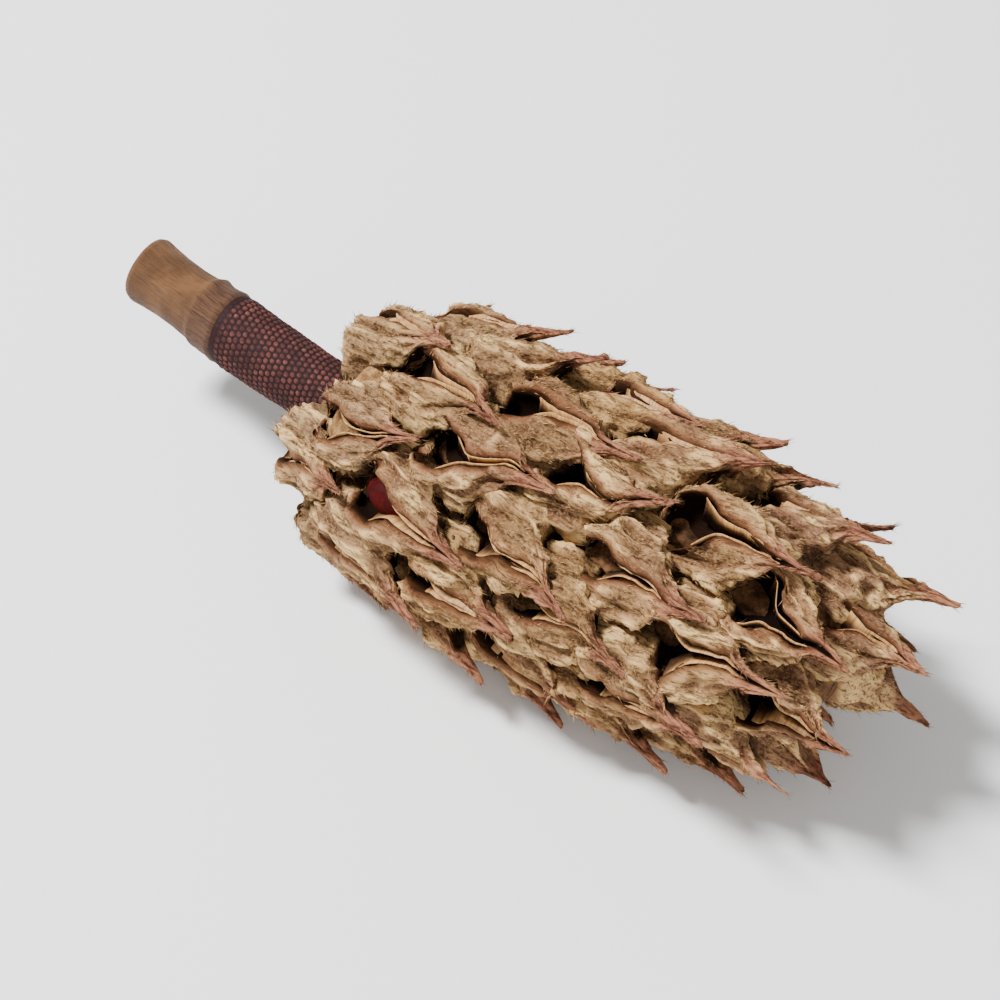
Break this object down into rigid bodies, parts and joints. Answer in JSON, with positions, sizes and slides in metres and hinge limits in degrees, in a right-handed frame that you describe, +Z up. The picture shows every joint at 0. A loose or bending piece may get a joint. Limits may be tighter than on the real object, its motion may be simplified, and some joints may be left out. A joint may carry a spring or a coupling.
{
  "type": "magnolia seed pod",
  "caption": "Dried magnolia seed pod lying on its side: a cut stalk with a scarred zone, and a blunt head of split, beaked follicles, a few still holding red seeds.",
  "frame": {"origin": "on the surface that the pod rests on, below the middle of its length and width", "axes": "+X along the pod from the cut stalk to the tip, +Z up"},
  "size_m": [0.1281, 0.0443, 0.0418],
  "materials": {
    "peduncle": "dry tan bark with a fibrous cut end",
    "scar_zone": "dull purple-brown with rows of tiny raised scars",
    "follicle_head": "velvety tan outside with pinkish-brown beaks, dark and papery inside",
    "seed": "waxy dark red"
  },
  "bodies": {
    "root": {"peduncle": "peduncle", "scar_zone": "scar_zone", "follicle_head": "follicle_head", "seed_a": "seed", "seed_b": "seed", "seed_c": "seed"}
  },
  "joints": []
}
